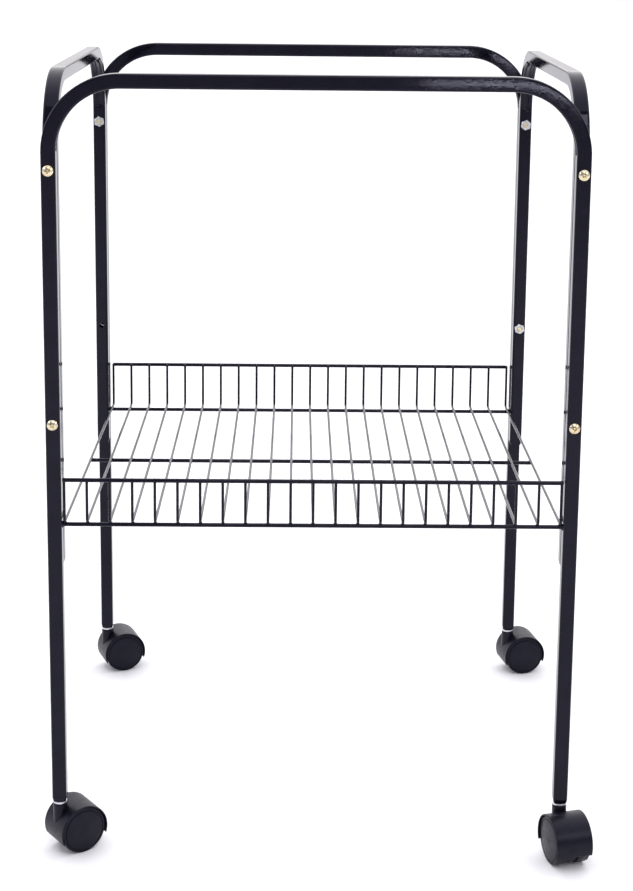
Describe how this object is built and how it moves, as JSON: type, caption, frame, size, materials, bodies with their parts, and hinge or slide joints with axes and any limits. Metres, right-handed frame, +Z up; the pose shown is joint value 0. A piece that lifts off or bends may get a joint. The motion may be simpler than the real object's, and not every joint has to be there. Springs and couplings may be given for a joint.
{
  "type": "mobile printer stand",
  "caption": "Rolling printer stand: arched square-tube frames bolted together, a wire paper basket half way up and swivelling twin-wheel casters.",
  "frame": {"origin": "on the floor, in the middle of the footprint with the casters as they stand", "axes": "+Z up, -Y towards the front of the stand, +X towards its right-hand side"},
  "size_m": [0.5042, 0.4776, 0.6972],
  "materials": {
    "black_enamel": "high gloss, faint orange peel",
    "black_plastic": "satin",
    "zinc": "bright zinc plate",
    "yellow_zinc": "yellow passivated zinc plate"
  },
  "bodies": {
    "stand": {"front_frame": "black_enamel", "back_frame": "black_enamel", "left_side_frame": "black_enamel", "right_side_frame": "black_enamel", "frame_screws": "yellow_zinc", "frame_nuts": "zinc", "basket_thin_wires": "black_enamel", "basket_front_top_wire": "black_enamel", "basket_front_wire": "black_enamel", "basket_middle_wire": "black_enamel", "basket_back_wire": "black_enamel", "basket_back_top_wire": "black_enamel", "front_left_socket": "zinc", "front_right_socket": "zinc", "back_left_socket": "zinc", "back_right_socket": "zinc"},
    "front_left_caster": {"front_left_stem": "zinc", "front_left_hood": "black_plastic", "front_left_axle": "zinc"},
    "front_left_wheel_a": {"front_left_wheel_a": "black_plastic"},
    "front_left_wheel_b": {"front_left_wheel_b": "black_plastic"},
    "front_right_caster": {"front_right_stem": "zinc", "front_right_hood": "black_plastic", "front_right_axle": "zinc"},
    "front_right_wheel_a": {"front_right_wheel_a": "black_plastic"},
    "front_right_wheel_b": {"front_right_wheel_b": "black_plastic"},
    "back_left_caster": {"back_left_stem": "zinc", "back_left_hood": "black_plastic", "back_left_axle": "zinc"},
    "back_left_wheel_a": {"back_left_wheel_a": "black_plastic"},
    "back_left_wheel_b": {"back_left_wheel_b": "black_plastic"},
    "back_right_caster": {"back_right_stem": "zinc", "back_right_hood": "black_plastic", "back_right_axle": "zinc"},
    "back_right_wheel_a": {"back_right_wheel_a": "black_plastic"},
    "back_right_wheel_b": {"back_right_wheel_b": "black_plastic"}
  },
  "joints": [
    {"name": "front_left_swivel", "type": "hinge", "parent": "stand", "child": "front_left_caster", "pos_m": [-0.23625, -0.19725, 0.047], "axis": [0, 0, 1], "continuous": true},
    {"name": "front_left_roll_a", "type": "hinge", "parent": "front_left_caster", "child": "front_left_wheel_a", "pos_m": [-0.22355, -0.18836, 0.021], "axis": [0.5736, -0.8192, 0], "continuous": true},
    {"name": "front_left_roll_b", "type": "hinge", "parent": "front_left_caster", "child": "front_left_wheel_b", "pos_m": [-0.22355, -0.18836, 0.021], "axis": [0.5736, -0.8192, 0], "continuous": true},
    {"name": "front_right_swivel", "type": "hinge", "parent": "stand", "child": "front_right_caster", "pos_m": [0.21105, -0.19725, 0.047], "axis": [0, 0, 1], "continuous": true},
    {"name": "front_right_roll_a", "type": "hinge", "parent": "front_right_caster", "child": "front_right_wheel_a", "pos_m": [0.21506, -0.21222, 0.021], "axis": [-0.9659, -0.2588, 0], "continuous": true},
    {"name": "front_right_roll_b", "type": "hinge", "parent": "front_right_caster", "child": "front_right_wheel_b", "pos_m": [0.21506, -0.21222, 0.021], "axis": [-0.9659, -0.2588, 0], "continuous": true},
    {"name": "back_left_swivel", "type": "hinge", "parent": "stand", "child": "back_left_caster", "pos_m": [-0.23625, 0.20905, 0.047], "axis": [0, 0, 1], "continuous": true},
    {"name": "back_left_roll_a", "type": "hinge", "parent": "back_left_caster", "child": "back_left_wheel_a", "pos_m": [-0.22183, 0.21473, 0.021], "axis": [0.3665, -0.9304, 0], "continuous": true},
    {"name": "back_left_roll_b", "type": "hinge", "parent": "back_left_caster", "child": "back_left_wheel_b", "pos_m": [-0.22183, 0.21473, 0.021], "axis": [0.3665, -0.9304, 0], "continuous": true},
    {"name": "back_right_swivel", "type": "hinge", "parent": "stand", "child": "back_right_caster", "pos_m": [0.21105, 0.20905, 0.047], "axis": [0, 0, 1], "continuous": true},
    {"name": "back_right_roll_a", "type": "hinge", "parent": "back_right_caster", "child": "back_right_wheel_a", "pos_m": [0.22621, 0.21227, 0.021], "axis": [0.2079, -0.9781, 0], "continuous": true},
    {"name": "back_right_roll_b", "type": "hinge", "parent": "back_right_caster", "child": "back_right_wheel_b", "pos_m": [0.22621, 0.21227, 0.021], "axis": [0.2079, -0.9781, 0], "continuous": true}
  ]
}
